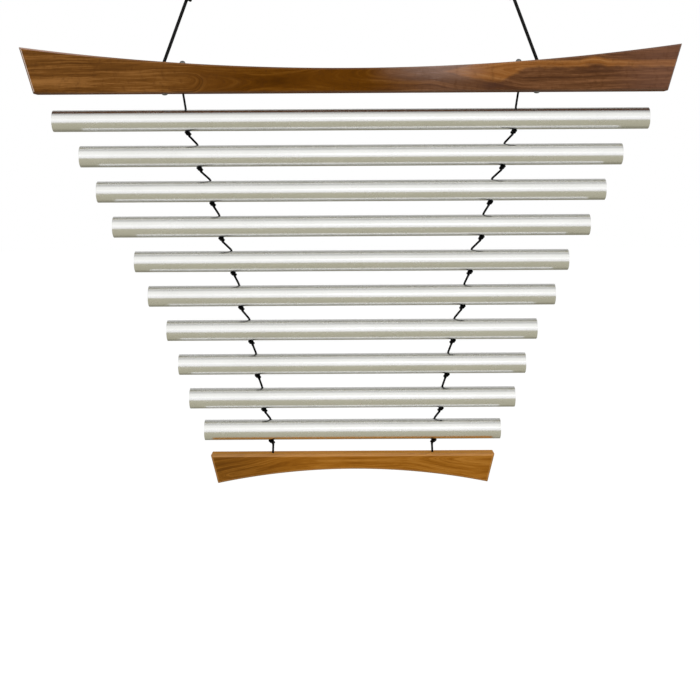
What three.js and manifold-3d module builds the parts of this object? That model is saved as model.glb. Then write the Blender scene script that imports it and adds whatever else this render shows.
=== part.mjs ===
// A hanging chime: ten aluminium tubes lie level, one under the other, between an upper and a lower
// teak bar. Two thin strings run down from the upper bar through holes in every tube and are knotted
// under each one, and two thicker cords carry the whole thing from above.
// Millimetres. X runs along the tubes, +Y to the back, +Z up. The origin lies midway between the two
// points on which the hanging cords' loops bear.
import * as THREE from 'three';
import { mergeVertices } from 'three/addons/utils/BufferGeometryUtils.js';
import Module from 'manifold-3d';

const wasm = await Module();
wasm.setup();

// Running clearance between neighbouring pieces
const clearance = 0.3;

// Tubes, longest first, by how many semitones each rings over the longest. A tube's length falls a
// little faster than the root of its pitch, because a short tube is slightly too flat for its length.
// Each is drilled right through at the two places where it barely moves when it rings, a fixed share of
// its length from either end. The second tube's holes are drilled a little further out.
const tubeDiameter = 25.4;
const tubeWall = 1.6;
const longestTube = 712;
const semitones = [0, 3, 5, 7, 10, 12, 15, 17, 19, 22];
const lengthPerPitch = -0.525;
const holeShare = 0.2235;
const secondTubeHoleShift = 4;
const tubeSides = 28;

// Open height between a tube and the next tube or bar, and under the upper bar. The last tube and the
// lower bar hang higher by the rise than even gaps would put them.
const openGap = 16.8;
const topGap = 19;
const lastTubeRise = 2.3;

// Bars: a plank with one flat edge, one hollowed edge and slanting ends, its edges rounded over
const barThickness = 24;
const topBar = { flatLength: 753, hollowLength: 783, endHeight: 54.2, middleHeight: 28.2, edgeRadius: 2.5 };
const lowerBar = { flatLength: 351, hollowLength: 334, endHeight: 36, middleHeight: 18.8, edgeRadius: 3.2 };
const hollowSteps = 28;
const roundOverSteps = 3;

// Strings
const stringDiameter = 2.3;
const topBarStringX = 200;
const lowerBarStringX = 99;
const stringSides = 6;

// Play all round a string in a tube's hole. A slanting string lies off the hole's middle by half of it.
const stringPlay = 1.05;
const tubeHoleDiameter = stringDiameter + 2 * stringPlay;
const stringLean = stringPlay / 2;

// Height over a hole at which a slanting string turns down into it, and how far the turn reaches
const entryRise = 1.5;
const entryTurn = 2.4;
const entrySteps = 3;

// Stopper knot. The wrap starts this many degrees past the knot's front and ends as far short of it.
// The lengths are shares of the spacing between strands: the wrap's two radii, how far the two core
// strands stand from the axis and from the wrap's ends, the reach of the curves that join them, how far
// those curves stand over the wrap, and where the string leaves, aside towards the next hole.
const knotStrandGap = 0.48;
const knot = {
  wrapLead: 5,
  wrapX: 1.5,
  wrapY: 1.14,
  coreX: 0.483,
  coreEnd: 0.846,
  downReach: 1.118,
  sideReach: 1.036,
  inReach: 0.442,
  outReach: 0.276,
  endRise: 0.1,
  exitAside: 0.635,
  exitDrop: 0.085,
  exitReach: 0.314,
};

// Straight stretch over a knot, and how far the knots are turned about the string, each against the last
const knotNeck = 1.2;
const knotTurn = 6;
const knotCurveSteps = 3;
const knotWrapSteps = 9;

// Hanging cords
const cordDiameter = 3.7;
const topBarCordX = 222;
const cordLean = 21.7;
const hangHeight = 111.5;
const cordSides = 8;

// The eye at each hanging cord's upper end: a drop with a round top, whose end is led back and wound
// round the cord
const eyeWraps = 3;
const eyeWidth = 15;
const eyeHeight = 26;
const eyeWrapGap = 0.6;
const eyeTail = 5;
const eyeSideReach = 0.55;
const eyeSideSteps = 6;
const eyeTopSteps = 8;
const wrapTurnSteps = 12;
const standingSteps = 6;

// Measuring how near a wound stretch comes to itself
const gapSamples = 60;
const sameStrand = 2.2;

// Domed stops that close the holes in the bars. A blind barrel under the dome grips the end of a string
// or cord. They are alike outside but for the dome's height, with room for the thicker of the two.
const stopWall = 0.7;
const stopLip = 0.7;
const topStopHeight = 3.6;
const cordStopHeight = 2.3;
const bottomStopHeight = 2;
const stopFlange = 0.5;
const stopBarrelLength = 9;
const stopBoreDepth = 7.5;
const stopSides = 12;
const domeSteps = 3;
const boreClearance = 0.3;
const seatDepth = 0.5;
const cutOvershoot = 2;
const cordHoleClearance = 0.5;
const holeSides = 12;

// Rings on the round start of a string or cord
const ballRings = 3;

// Finishes
const teakDark = new THREE.MeshStandardMaterial({ color: 0x6b431d, roughness: 0.35, metalness: 0 });
const teakLight = new THREE.MeshStandardMaterial({ color: 0x9a5f1e, roughness: 0.4, metalness: 0 });
const aluminium = new THREE.MeshStandardMaterial({ color: 0xc9c7c2, roughness: 0.38, metalness: 1 });
const blackString = new THREE.MeshStandardMaterial({ color: 0x111111, roughness: 0.8, metalness: 0 });
const blackCord = new THREE.MeshStandardMaterial({ color: 0x151515, roughness: 0.75, metalness: 0 });
const steel = new THREE.MeshStandardMaterial({ color: 0x8f8f8d, roughness: 0.3, metalness: 1 });

const chime = new THREE.Group();

// Sizes that follow from those above
const tubeRadius = tubeDiameter / 2;
const stringRadius = stringDiameter / 2;
const cordRadius = cordDiameter / 2;
const stopBarrelDiameter = Math.max(stringDiameter, cordDiameter) + 2 * (boreClearance + stopWall);
const stopDomeDiameter = stopBarrelDiameter + 2 * stopLip;

const knotSpacing = stringDiameter + knotStrandGap;
const knotFront = 270;
const knotWrapSweep = 360 - 2 * knot.wrapLead;
const knotRise = (knotWrapSweep / 360) * knotSpacing;
const knotHeight = knotRise + stringDiameter + 2 * knot.endRise * knotSpacing;

// Height of a bar's hollowed edge over its flat edge at a place along it: an arc of a circle
function barHeightAt(bar, x) {
  const halfChord = bar.hollowLength / 2;
  const sag = bar.endHeight - bar.middleHeight;
  const radius = (halfChord ** 2 + sag ** 2) / (2 * sag);
  return bar.middleHeight + radius - Math.sqrt(radius ** 2 - x ** 2);
}

// Levels, from the top down
const cordEntryZ = -hangHeight;
const topBarBottomZ = cordEntryZ - barHeightAt(topBar, topBarCordX);
const tubePitch = tubeDiameter + openGap;
const tubeCount = semitones.length;
const tubeZ = (index) =>
  topBarBottomZ - topGap - tubeRadius - index * tubePitch + (index === tubeCount - 1 ? lastTubeRise : 0);
const lowerBarTopZ = tubeZ(tubeCount - 1) - tubeRadius - openGap;

// A tube's length, its holes' distance from its middle, and the middle of the knot that carries it
const tubeLength = (index) => longestTube * 2 ** ((lengthPerPitch * semitones[index]) / 12);
const holeX = (index) =>
  tubeLength(index) * (0.5 - holeShare) + (index === 1 ? secondTubeHoleShift : 0);
const knotX = (index) => holeX(index) - stringLean;
const knotZ = (index) => tubeZ(index) - tubeRadius - clearance - knotHeight / 2;

// Where a string turns down into the hole of tube index, or of the lower bar after the last tube
function entryPoint(index) {
  if (index === tubeCount) {
    return new THREE.Vector3(lowerBarStringX, 0, lowerBarTopZ + entryRise);
  }
  return new THREE.Vector3(holeX(index) + stringLean, 0, tubeZ(index) + tubeRadius + entryRise);
}

// Where a string leaves its knot, the way it goes on, and the point just below at which it turns
function knotExit(index) {
  const exitX = knotX(index) - knot.exitAside * knotSpacing;
  const end = new THREE.Vector3(exitX, 0, knotZ(index) - knotHeight / 2 - knot.exitDrop * knotSpacing);
  const onward = entryPoint(index + 1).sub(end).normalize();
  const pivot = end.clone().addScaledVector(onward, clearance + stringRadius);
  return { end, onward, pivot };
}

// The same point on the right side (1) or mirrored to the left (-1)
const toSide = (side, point) => point.clone().setX(side * point.x);

// A closed geometry as a solid, for cutting
function toSolid(geometry) {
  const plain = geometry.clone();
  plain.deleteAttribute('normal');
  plain.deleteAttribute('uv');
  const welded = mergeVertices(plain, 1e-4);
  return new wasm.Manifold(
    new wasm.Mesh({
      numProp: 3,
      vertProperties: new Float32Array(welded.attributes.position.array),
      triVerts: new Uint32Array(welded.index.array),
    }),
  );
}

function toGeometry(solid) {
  const mesh = solid.getMesh();
  const geometry = new THREE.BufferGeometry();
  geometry.setAttribute('position', new THREE.BufferAttribute(new Float32Array(mesh.vertProperties), 3));
  geometry.setIndex(new THREE.BufferAttribute(new Uint32Array(mesh.triVerts), 1));
  geometry.computeVertexNormals();
  return geometry;
}

function cut(geometry, cutters) {
  let solid = toSolid(geometry);
  for (const cutter of cutters) {
    solid = solid.subtract(toSolid(cutter));
  }
  return toGeometry(solid);
}

// An upright cylinder between two heights
function upright(radius, bottomZ, topZ, x, sides) {
  const geometry = new THREE.CylinderGeometry(radius, radius, topZ - bottomZ, sides);
  geometry.rotateX(Math.PI / 2);
  geometry.translate(x, 0, (topZ + bottomZ) / 2);
  return geometry;
}

function addMesh(name, geometry, material) {
  const mesh = new THREE.Mesh(geometry, material);
  mesh.name = name;
  chime.add(mesh);
  return mesh;
}

// Rings of points swept along joined curves without twist. A round end is a half ball centred on the
// path's first point, which is where that string or cord turns on the piece before it.
function sweptCord(pieces, radius, sides, roundStart) {
  const points = [];
  const tangents = [];
  for (const { curve, steps } of pieces) {
    for (let k = points.length ? 1 : 0; k <= steps; k++) {
      points.push(curve.getPointAt(k / steps));
      tangents.push(curve.getTangentAt(k / steps));
    }
  }
  const across = new THREE.Vector3(0, 1, 0).cross(tangents[0]).normalize();
  const rings = [];
  const addRing = (centre, normal, tangent, size) => {
    const binormal = new THREE.Vector3().crossVectors(tangent, normal);
    rings.push(
      Array.from({ length: sides }, (_, k) => {
        const angle = (2 * Math.PI * k) / sides;
        return centre
          .clone()
          .addScaledVector(normal, size * Math.cos(angle))
          .addScaledVector(binormal, size * Math.sin(angle));
      }),
    );
  };
  const first = points[0].clone();
  if (roundStart) {
    first.addScaledVector(tangents[0], -radius);
    for (let k = 1; k < ballRings; k++) {
      const angle = (Math.PI / 2) * (k / ballRings);
      const centre = points[0].clone().addScaledVector(tangents[0], -radius * Math.cos(angle));
      addRing(centre, across, tangents[0], radius * Math.sin(angle));
    }
  }
  const normal = across.clone();
  for (let k = 0; k < points.length; k++) {
    if (k > 0) {
      const turn = new THREE.Quaternion().setFromUnitVectors(tangents[k - 1], tangents[k]);
      normal.applyQuaternion(turn);
    }
    addRing(points[k], normal, tangents[k], radius);
  }
  const positions = [first, ...rings.flat(), points[points.length - 1]];
  const lastPoint = positions.length - 1;
  const triangles = [];
  for (let k = 0; k < sides; k++) {
    const next = (k + 1) % sides;
    triangles.push(0, 1 + next, 1 + k);
    for (let ring = 0; ring + 1 < rings.length; ring++) {
      const here = 1 + ring * sides;
      const there = here + sides;
      triangles.push(here + k, here + next, there + next);
      triangles.push(here + k, there + next, there + k);
    }
    const end = 1 + (rings.length - 1) * sides;
    triangles.push(end + k, end + next, lastPoint);
  }
  const geometry = new THREE.BufferGeometry().setFromPoints(positions);
  geometry.setIndex(triangles);
  geometry.computeVertexNormals();
  return geometry;
}

// The least gap that a wound stretch keeps to itself, measured on points along its middle. Points
// nearer than a bend's length along it are one strand.
function leastGap(pieces, diameter) {
  const points = pieces.flatMap(({ curve }) => curve.getSpacedPoints(gapSamples));
  const walked = [0];
  for (let k = 1; k < points.length; k++) {
    walked.push(walked[k - 1] + points[k].distanceTo(points[k - 1]));
  }
  let least = Infinity;
  for (let a = 0; a < points.length; a++) {
    for (let b = a + 1; b < points.length; b++) {
      if (walked[b] - walked[a] > sameStrand * diameter) {
        least = Math.min(least, points[a].distanceTo(points[b]) - diameter);
      }
    }
  }
  return least;
}

// A straight stretch of string or cord
const line = (from, to, steps = 1) => ({ curve: new THREE.LineCurve3(from, to), steps });

// A bar in profile, its flat edge on z = 0, rounded over along both faces. The flat edge is its lower
// edge when it is the upper bar, and its upper edge when it is the lower one.
function barGeometry(bar, hollowUp) {
  const side = hollowUp ? 1 : -1;
  const hollowAt = (x) => new THREE.Vector2(x, side * barHeightAt(bar, x));
  const outline = [new THREE.Vector2(-bar.flatLength / 2, 0), new THREE.Vector2(bar.flatLength / 2, 0)];
  for (let k = 0; k <= hollowSteps; k++) {
    outline.push(hollowAt(bar.hollowLength * (0.5 - k / hollowSteps)));
  }
  const geometry = new THREE.ExtrudeGeometry(new THREE.Shape(outline), {
    depth: barThickness - 2 * bar.edgeRadius,
    steps: 1,
    bevelEnabled: true,
    bevelThickness: bar.edgeRadius,
    bevelSize: bar.edgeRadius,
    bevelOffset: -bar.edgeRadius,
    bevelSegments: roundOverSteps,
  });
  geometry.translate(0, 0, bar.edgeRadius - barThickness / 2);
  geometry.rotateX(Math.PI / 2);
  return geometry;
}

// A domed stop with its flange on z = 0, the dome above it and the barrel below it
function stopGeometry(heldDiameter, domeHeight) {
  const domeRadius = stopDomeDiameter / 2;
  const boreRadius = heldDiameter / 2 + boreClearance;
  const profile = [new THREE.Vector2(0, -stopBarrelLength + stopBoreDepth)];
  profile.push(new THREE.Vector2(boreRadius, -stopBarrelLength + stopBoreDepth));
  profile.push(new THREE.Vector2(boreRadius, -stopBarrelLength));
  profile.push(new THREE.Vector2(stopBarrelDiameter / 2, -stopBarrelLength));
  profile.push(new THREE.Vector2(stopBarrelDiameter / 2, 0));
  profile.push(new THREE.Vector2(domeRadius, 0));
  for (let k = 0; k <= domeSteps; k++) {
    const angle = (Math.PI / 2) * (k / domeSteps);
    const height = stopFlange + (domeHeight - stopFlange) * Math.sin(angle);
    profile.push(new THREE.Vector2(k === domeSteps ? 0 : domeRadius * Math.cos(angle), height));
  }
  const geometry = new THREE.LatheGeometry(profile, stopSides);
  geometry.rotateX(Math.PI / 2);
  return geometry;
}

// The cuts that a stop and its cord need in a bar: a flat seat for the dome, a bore for the barrel and
// a hole right through for the cord. The stop enters at seatZ and the cord leaves at farZ.
function stopCuts(heldDiameter, x, seatZ, farZ, seatSurfaceZ) {
  const down = Math.sign(farZ - seatZ);
  const boreZ = seatZ + down * (stopBarrelLength + clearance);
  const beyond = down * cutOvershoot;
  const between = (a, b, radius) => upright(radius, Math.min(a, b), Math.max(a, b), x, holeSides);
  return [
    between(seatZ, seatSurfaceZ - beyond, stopDomeDiameter / 2 + clearance),
    between(seatZ - beyond, boreZ, stopBarrelDiameter / 2 + clearance),
    between(boreZ - beyond, farZ + beyond, heldDiameter / 2 + cordHoleClearance),
  ];
}

// The overhand stopper knot under a tube, tied round a vertical axis. The string comes down beside the
// axis, turns out at the bottom, winds once round itself on the way up, turns in at the top, comes down
// inside its own wrap and leaves towards the next hole.
function knotPieces(side, index) {
  const turn = THREE.MathUtils.degToRad(180 + (index % 2 ? knotTurn : -knotTurn));
  const middle = new THREE.Vector3(knotX(index), 0, knotZ(index));
  const axis = new THREE.Vector3(0, 0, 1);
  const place = (x, y, z) =>
    toSide(side, new THREE.Vector3(x, y, z).applyAxisAngle(axis, turn).add(middle));
  class Wrap extends THREE.Curve {
    getPoint(share, target = new THREE.Vector3()) {
      const angle = THREE.MathUtils.degToRad(knotFront + knot.wrapLead + knotWrapSweep * share);
      const x = knot.wrapX * knotSpacing * Math.cos(angle);
      const y = knot.wrapY * knotSpacing * Math.sin(angle);
      return target.copy(place(x, y, knotRise * (share - 0.5)));
    }
  }
  const wrap = new Wrap();
  const core = knot.coreX * knotSpacing;
  const coreEnd = knotRise / 2 - knot.coreEnd * knotSpacing;
  const down = knot.downReach * knotSpacing;
  const aside = knot.sideReach * knotSpacing;
  const wrapFoot = wrap.getPoint(0);
  const wrapHead = wrap.getPoint(1);
  const { end, onward } = knotExit(index);
  const bezier = (...ends) => ({ curve: new THREE.CubicBezierCurve3(...ends), steps: knotCurveSteps });
  return [
    bezier(
      place(0, 0, knotHeight / 2 + knotNeck),
      place(0, 0, knotHeight / 2),
      place(-core, 0, knot.inReach * knotSpacing - coreEnd),
      place(-core, 0, -coreEnd),
    ),
    bezier(
      place(-core, 0, -coreEnd),
      place(-core, 0, -coreEnd - down),
      wrapFoot.clone().addScaledVector(wrap.getTangent(0), -aside),
      wrapFoot,
    ),
    { curve: wrap, steps: knotWrapSteps },
    bezier(
      wrapHead,
      wrapHead.clone().addScaledVector(wrap.getTangent(1), aside),
      place(core, 0, coreEnd + down),
      place(core, 0, coreEnd),
    ),
    bezier(
      place(core, 0, coreEnd),
      place(core, 0, coreEnd - knot.outReach * knotSpacing),
      toSide(side, end.clone().addScaledVector(onward, -knot.exitReach * knotSpacing)),
      toSide(side, end),
    ),
  ];
}

// The string's slanting stretch from its pivot under the piece above to a hole, the turn into the hole
// and the straight run on through it
function stretchPieces(side, pivot, entry, passageEnd) {
  const into = entry.clone().sub(pivot).normalize();
  const onward = passageEnd.clone().sub(entry).normalize();
  const turnFrom = toSide(side, entry.clone().addScaledVector(into, -entryTurn));
  const turnTo = toSide(side, entry.clone().addScaledVector(onward, entryTurn));
  return [
    line(toSide(side, pivot), turnFrom),
    { curve: new THREE.QuadraticBezierCurve3(turnFrom, toSide(side, entry), turnTo), steps: entrySteps },
    line(turnTo, toSide(side, passageEnd)),
  ];
}

// Bars
const topBarGeometry = barGeometry(topBar, true);
topBarGeometry.translate(0, 0, topBarBottomZ);
const stringSeatZ = topBarBottomZ + barHeightAt(topBar, topBarStringX) - seatDepth;
const cordSeatZ = topBarBottomZ + seatDepth;
const topBarCuts = [-1, 1].flatMap((side) => [
  ...stopCuts(
    stringDiameter,
    side * topBarStringX,
    stringSeatZ,
    topBarBottomZ,
    topBarBottomZ + barHeightAt(topBar, topBarStringX + stopDomeDiameter),
  ),
  ...stopCuts(cordDiameter, side * topBarCordX, cordSeatZ, cordEntryZ, topBarBottomZ),
]);
addMesh('top_bar', cut(topBarGeometry, topBarCuts), teakDark);

const lowerBarGeometry = barGeometry(lowerBar, false);
lowerBarGeometry.translate(0, 0, lowerBarTopZ);
const lowerBarHeight = barHeightAt(lowerBar, lowerBarStringX);
const lowerSeatZ = lowerBarTopZ - lowerBarHeight + seatDepth;
const lowerBarCuts = [-1, 1].flatMap((side) =>
  stopCuts(
    stringDiameter,
    side * lowerBarStringX,
    lowerSeatZ,
    lowerBarTopZ,
    lowerBarTopZ - barHeightAt(lowerBar, lowerBarStringX + stopDomeDiameter),
  ),
);
addMesh('lower_bar', cut(lowerBarGeometry, lowerBarCuts), teakLight);

// Tubes
for (let index = 0; index < tubeCount; index++) {
  const innerRadius = tubeRadius - tubeWall;
  const half = tubeLength(index) / 2;
  const geometry = new THREE.LatheGeometry(
    [
      new THREE.Vector2(innerRadius, -half),
      new THREE.Vector2(tubeRadius, -half),
      new THREE.Vector2(tubeRadius, half),
      new THREE.Vector2(innerRadius, half),
      new THREE.Vector2(innerRadius, -half),
    ],
    tubeSides,
  );
  geometry.rotateZ(-Math.PI / 2);
  geometry.rotateX(Math.PI / tubeSides);
  const drills = [-1, 1].map((side) =>
    upright(tubeHoleDiameter / 2, -tubeDiameter, tubeDiameter, side * holeX(index), holeSides),
  );
  const name = `tube_${String(index + 1).padStart(2, '0')}`;
  addMesh(name, cut(geometry, drills), aluminium).position.z = tubeZ(index);
}

// Domed stops: over the strings on the upper bar, under the hanging cords there, and under the strings
// on the lower bar
for (const [side, sideName] of [[-1, 'left'], [1, 'right']]) {
  const upperString = addMesh(
    `${sideName}_string_top_stop`,
    stopGeometry(stringDiameter, topStopHeight),
    steel,
  );
  upperString.position.set(side * topBarStringX, 0, stringSeatZ + clearance);
  const upperCord = addMesh(`${sideName}_cord_stop`, stopGeometry(cordDiameter, cordStopHeight), steel);
  upperCord.rotation.x = Math.PI;
  upperCord.position.set(side * topBarCordX, 0, cordSeatZ - clearance);
  const lowerString = addMesh(
    `${sideName}_string_bottom_stop`,
    stopGeometry(stringDiameter, bottomStopHeight),
    steel,
  );
  lowerString.rotation.x = Math.PI;
  lowerString.position.set(side * lowerBarStringX, 0, lowerSeatZ - clearance);
}

// Strings. Length 00 lies in the upper bar, lengths 01 to 10 each carry a tube on their knot, and
// length 11 ends in the lower bar.
const boreEnd = stopBarrelLength - stopBoreDepth + clearance;
const knotGaps = [];
for (const [side, sideName] of [[-1, 'left'], [1, 'right']]) {
  const at = (x, z) => new THREE.Vector3(x, 0, z);
  const addString = (number, pieces, roundStart) =>
    addMesh(
      `${sideName}_string_${String(number).padStart(2, '0')}`,
      sweptCord(pieces, stringRadius, stringSides, roundStart),
      blackString,
    );
  const barTop = toSide(side, at(topBarStringX, stringSeatZ + clearance - boreEnd));
  addString(0, [line(barTop, toSide(side, at(topBarStringX, topBarBottomZ)))], false);
  let pivot = at(topBarStringX, topBarBottomZ - clearance - stringRadius);
  for (let index = 0; index < tubeCount; index++) {
    const passageEnd = at(knotX(index), knotZ(index) + knotHeight / 2 + knotNeck);
    const knotted = knotPieces(side, index);
    knotGaps.push(leastGap(knotted, stringDiameter));
    addString(index + 1, [...stretchPieces(side, pivot, entryPoint(index), passageEnd), ...knotted], true);
    pivot = knotExit(index).pivot;
  }
  const endPoint = at(lowerBarStringX, lowerSeatZ - clearance + boreEnd);
  addString(tubeCount + 1, stretchPieces(side, pivot, entryPoint(tubeCount), endPoint), true);
}

console.log('least gap inside a knot, mm:', Math.min(...knotGaps).toFixed(2));

// Hanging cords: each rises, leaning in, to an eye, and its end is wound back round it
for (const [side, sideName] of [[-1, 'left'], [1, 'right']]) {
  const lean = THREE.MathUtils.degToRad(cordLean);
  const up = new THREE.Vector3(-side * Math.sin(lean), 0, Math.cos(lean));
  const out = new THREE.Vector3(side * Math.cos(lean), 0, Math.sin(lean));
  const forward = new THREE.Vector3(0, -1, 0);
  const start = new THREE.Vector3(side * topBarCordX, 0, cordEntryZ);
  const bearing = hangHeight / Math.cos(lean);
  const eyeTop = bearing + cordRadius;
  const wrapRadius = cordDiameter + eyeWrapGap;
  const wrapHeight = eyeWraps * wrapRadius;
  const eyeFoot = eyeTop - eyeHeight;
  const place = (along, outward, toFront = 0) =>
    start.clone().addScaledVector(up, along).addScaledVector(out, outward).addScaledVector(forward, toFront);
  const eyeRadius = eyeWidth / 2;
  const eyeMiddle = eyeTop - eyeRadius;
  const reach = eyeSideReach * (eyeMiddle - eyeFoot);
  class EyeTop extends THREE.Curve {
    getPoint(share, target = new THREE.Vector3()) {
      const angle = Math.PI * (1 - share);
      return target.copy(place(eyeMiddle + eyeRadius * Math.sin(angle), eyeRadius * Math.cos(angle)));
    }
  }
  const wrapTop = eyeFoot - cordDiameter;
  class Winding extends THREE.Curve {
    getPoint(share, target = new THREE.Vector3()) {
      const angle = Math.PI / 2 + eyeWraps * share * 2 * Math.PI;
      const along = wrapTop - wrapHeight * share;
      return target.copy(place(along, wrapRadius * Math.cos(angle), wrapRadius * Math.sin(angle)));
    }
  }
  const winding = new Winding();
  const windingStart = winding.getPoint(0);
  const windingEnd = winding.getPoint(1);
  const bezier = (...ends) => ({ curve: new THREE.CubicBezierCurve3(...ends), steps: eyeSideSteps });
  const cordPieces = [
    line(start, place(eyeFoot, 0), standingSteps),
    bezier(
      place(eyeFoot, 0),
      place(eyeFoot + reach, 0),
      place(eyeMiddle - reach, -eyeRadius),
      place(eyeMiddle, -eyeRadius),
    ),
    { curve: new EyeTop(), steps: eyeTopSteps },
    bezier(
      place(eyeMiddle, eyeRadius),
      place(eyeMiddle - reach, eyeRadius),
      place(eyeFoot + reach, wrapRadius),
      place(eyeFoot, wrapRadius),
    ),
    bezier(
      place(eyeFoot, wrapRadius),
      place(eyeFoot - cordDiameter, wrapRadius),
      windingStart.clone().addScaledVector(winding.getTangent(0), -cordDiameter),
      windingStart,
    ),
    { curve: winding, steps: wrapTurnSteps * eyeWraps },
    line(windingEnd, windingEnd.clone().addScaledVector(winding.getTangent(1), eyeTail)),
  ];
  console.log(`${sideName} eye, least gap, mm:`, leastGap(cordPieces, cordDiameter).toFixed(2));
  addMesh(`${sideName}_hanging_cord`, sweptCord(cordPieces, cordRadius, cordSides, true), blackCord);
  const endTop = new THREE.Vector3(side * topBarCordX, 0, cordEntryZ - cordRadius - clearance);
  const endBottom = new THREE.Vector3(side * topBarCordX, 0, cordSeatZ - clearance + boreEnd);
  addMesh(
    `${sideName}_cord_end`,
    sweptCord([line(endTop, endBottom, 2)], cordRadius, cordSides, false),
    blackCord,
  );
}

export default chime;
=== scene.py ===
# A hanging chime: ten aluminium tubes of falling length lie level, one under the other, between an upper
# and a lower teak bar, strung on two thin knotted strings and hung on two braided cords.
# Metres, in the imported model's frame: X along the tubes, +Y to the back, +Z up.
import math

import bmesh
import bpy
import numpy as np
from mathutils import Matrix, Vector


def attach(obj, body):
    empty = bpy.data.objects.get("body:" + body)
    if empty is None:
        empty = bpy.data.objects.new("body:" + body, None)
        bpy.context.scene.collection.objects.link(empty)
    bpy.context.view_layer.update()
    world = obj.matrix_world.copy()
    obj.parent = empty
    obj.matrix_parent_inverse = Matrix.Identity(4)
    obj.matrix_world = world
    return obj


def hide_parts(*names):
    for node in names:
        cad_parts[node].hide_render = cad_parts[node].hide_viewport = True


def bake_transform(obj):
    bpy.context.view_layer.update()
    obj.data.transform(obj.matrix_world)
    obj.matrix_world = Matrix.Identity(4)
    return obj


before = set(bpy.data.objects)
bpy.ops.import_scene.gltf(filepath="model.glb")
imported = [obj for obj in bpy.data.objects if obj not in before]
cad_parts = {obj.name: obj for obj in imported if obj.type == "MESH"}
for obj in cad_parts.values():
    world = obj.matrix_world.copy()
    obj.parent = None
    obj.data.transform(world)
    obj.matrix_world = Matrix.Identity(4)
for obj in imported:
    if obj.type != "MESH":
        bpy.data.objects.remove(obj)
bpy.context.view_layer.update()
MM = 0.001

# Sizes, the same as the solids'
TUBE_RADIUS = 12.7 * MM
TUBE_WALL = 1.6 * MM
LONGEST_TUBE = 712 * MM
SEMITONES = [0, 3, 5, 7, 10, 12, 15, 17, 19, 22]
LENGTH_PER_PITCH = -0.525
HOLE_SHARE = 0.2235
SECOND_TUBE_HOLE_SHIFT = 4 * MM
OPEN_GAP = 16.8 * MM
TOP_GAP = 19 * MM
LAST_TUBE_RISE = 2.3 * MM
BAR_THICKNESS = 24 * MM
TOP_BAR = {"flat": 753 * MM, "hollow": 783 * MM, "end": 54.2 * MM, "middle": 28.2 * MM, "edge": 2.5 * MM,
           "corner": 0.5 * MM}
LOWER_BAR = {"flat": 351 * MM, "hollow": 334 * MM, "end": 36 * MM, "middle": 18.8 * MM, "edge": 3.2 * MM,
             "corner": 0.9 * MM}
CLEARANCE = 0.3 * MM
STRING_RADIUS = 1.15 * MM
TOP_STRING_X = 200 * MM
LOWER_STRING_X = 99 * MM
STRING_PLAY = 1.05 * MM
TUBE_HOLE_RADIUS = STRING_RADIUS + STRING_PLAY
STRING_LEAN = STRING_PLAY / 2
ENTRY_RISE = 1 * MM
ENTRY_TURN = 1.7 * MM
KNOT_SPACING = 2.78 * MM
KNOT_SWEEP = 350
KNOT_SLACK = 0.2
KNOT_HEIGHT = KNOT_SPACING * (KNOT_SWEEP / 360 + KNOT_SLACK) + 2 * STRING_RADIUS
KNOT_NECK = 1.2 * MM
KNOT_TURN = 6
KNOT_EXIT = {"aside": 0.635, "drop": 0.085}
CORD_RADIUS = 1.85 * MM
TOP_CORD_X = 222 * MM
CORD_LEAN = math.radians(21.7)
HANG_HEIGHT = 111.5 * MM
EYE = {"wraps": 3, "width": 15 * MM, "height": 26 * MM, "gap": 0.6 * MM, "tail": 5 * MM, "side_reach": 0.55}
STOP = {"dome": 3.55 * MM, "overshoot": 2 * MM, "flange": 0.5 * MM, "barrel": 2.85 * MM, "length": 9 * MM,
        "bore_depth": 7.5 * MM, "seat": 0.5 * MM}
TOP_STOP_HEIGHT = 3.6 * MM
CORD_STOP_HEIGHT = 2.3 * MM
BOTTOM_STOP_HEIGHT = 2 * MM
BORE_CLEARANCE = 0.3 * MM
HOLE_CLEARANCE = 0.5 * MM
TUBE_COUNT = len(SEMITONES)
SIDES = ((-1, "left"), (1, "right"))


def unit(vector):
    return vector / np.linalg.norm(vector)


def arc_radius(bar):
    """Radius of a bar's hollowed edge, an arc of a circle."""
    sag = bar["end"] - bar["middle"]
    return ((bar["hollow"] / 2) ** 2 + sag**2) / (2 * sag)


def bar_height(bar, x):
    """Height of a bar's hollowed edge over its flat edge."""
    radius = arc_radius(bar)
    return bar["middle"] + radius - math.sqrt(radius**2 - x**2)


CORD_ENTRY_Z = -HANG_HEIGHT
TOP_BOTTOM_Z = CORD_ENTRY_Z - bar_height(TOP_BAR, TOP_CORD_X)


def tube_z(index):
    rise = LAST_TUBE_RISE if index == TUBE_COUNT - 1 else 0
    return TOP_BOTTOM_Z - TOP_GAP - TUBE_RADIUS - index * (2 * TUBE_RADIUS + OPEN_GAP) + rise


LOWER_TOP_Z = tube_z(TUBE_COUNT - 1) - TUBE_RADIUS - OPEN_GAP
STRING_SEAT_Z = TOP_BOTTOM_Z + bar_height(TOP_BAR, TOP_STRING_X) - STOP["seat"]
CORD_SEAT_Z = TOP_BOTTOM_Z + STOP["seat"]
LOWER_SEAT_Z = LOWER_TOP_Z - bar_height(LOWER_BAR, LOWER_STRING_X) + STOP["seat"]
BORE_END = STOP["length"] - STOP["bore_depth"] + CLEARANCE


def tube_length(index):
    return LONGEST_TUBE * 2 ** (LENGTH_PER_PITCH * SEMITONES[index] / 12)


def hole_x(index):
    return tube_length(index) * (0.5 - HOLE_SHARE) + (SECOND_TUBE_HOLE_SHIFT if index == 1 else 0)


def knot_x(index):
    return hole_x(index) - STRING_LEAN


def knot_z(index):
    return tube_z(index) - TUBE_RADIUS - CLEARANCE - KNOT_HEIGHT / 2


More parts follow.
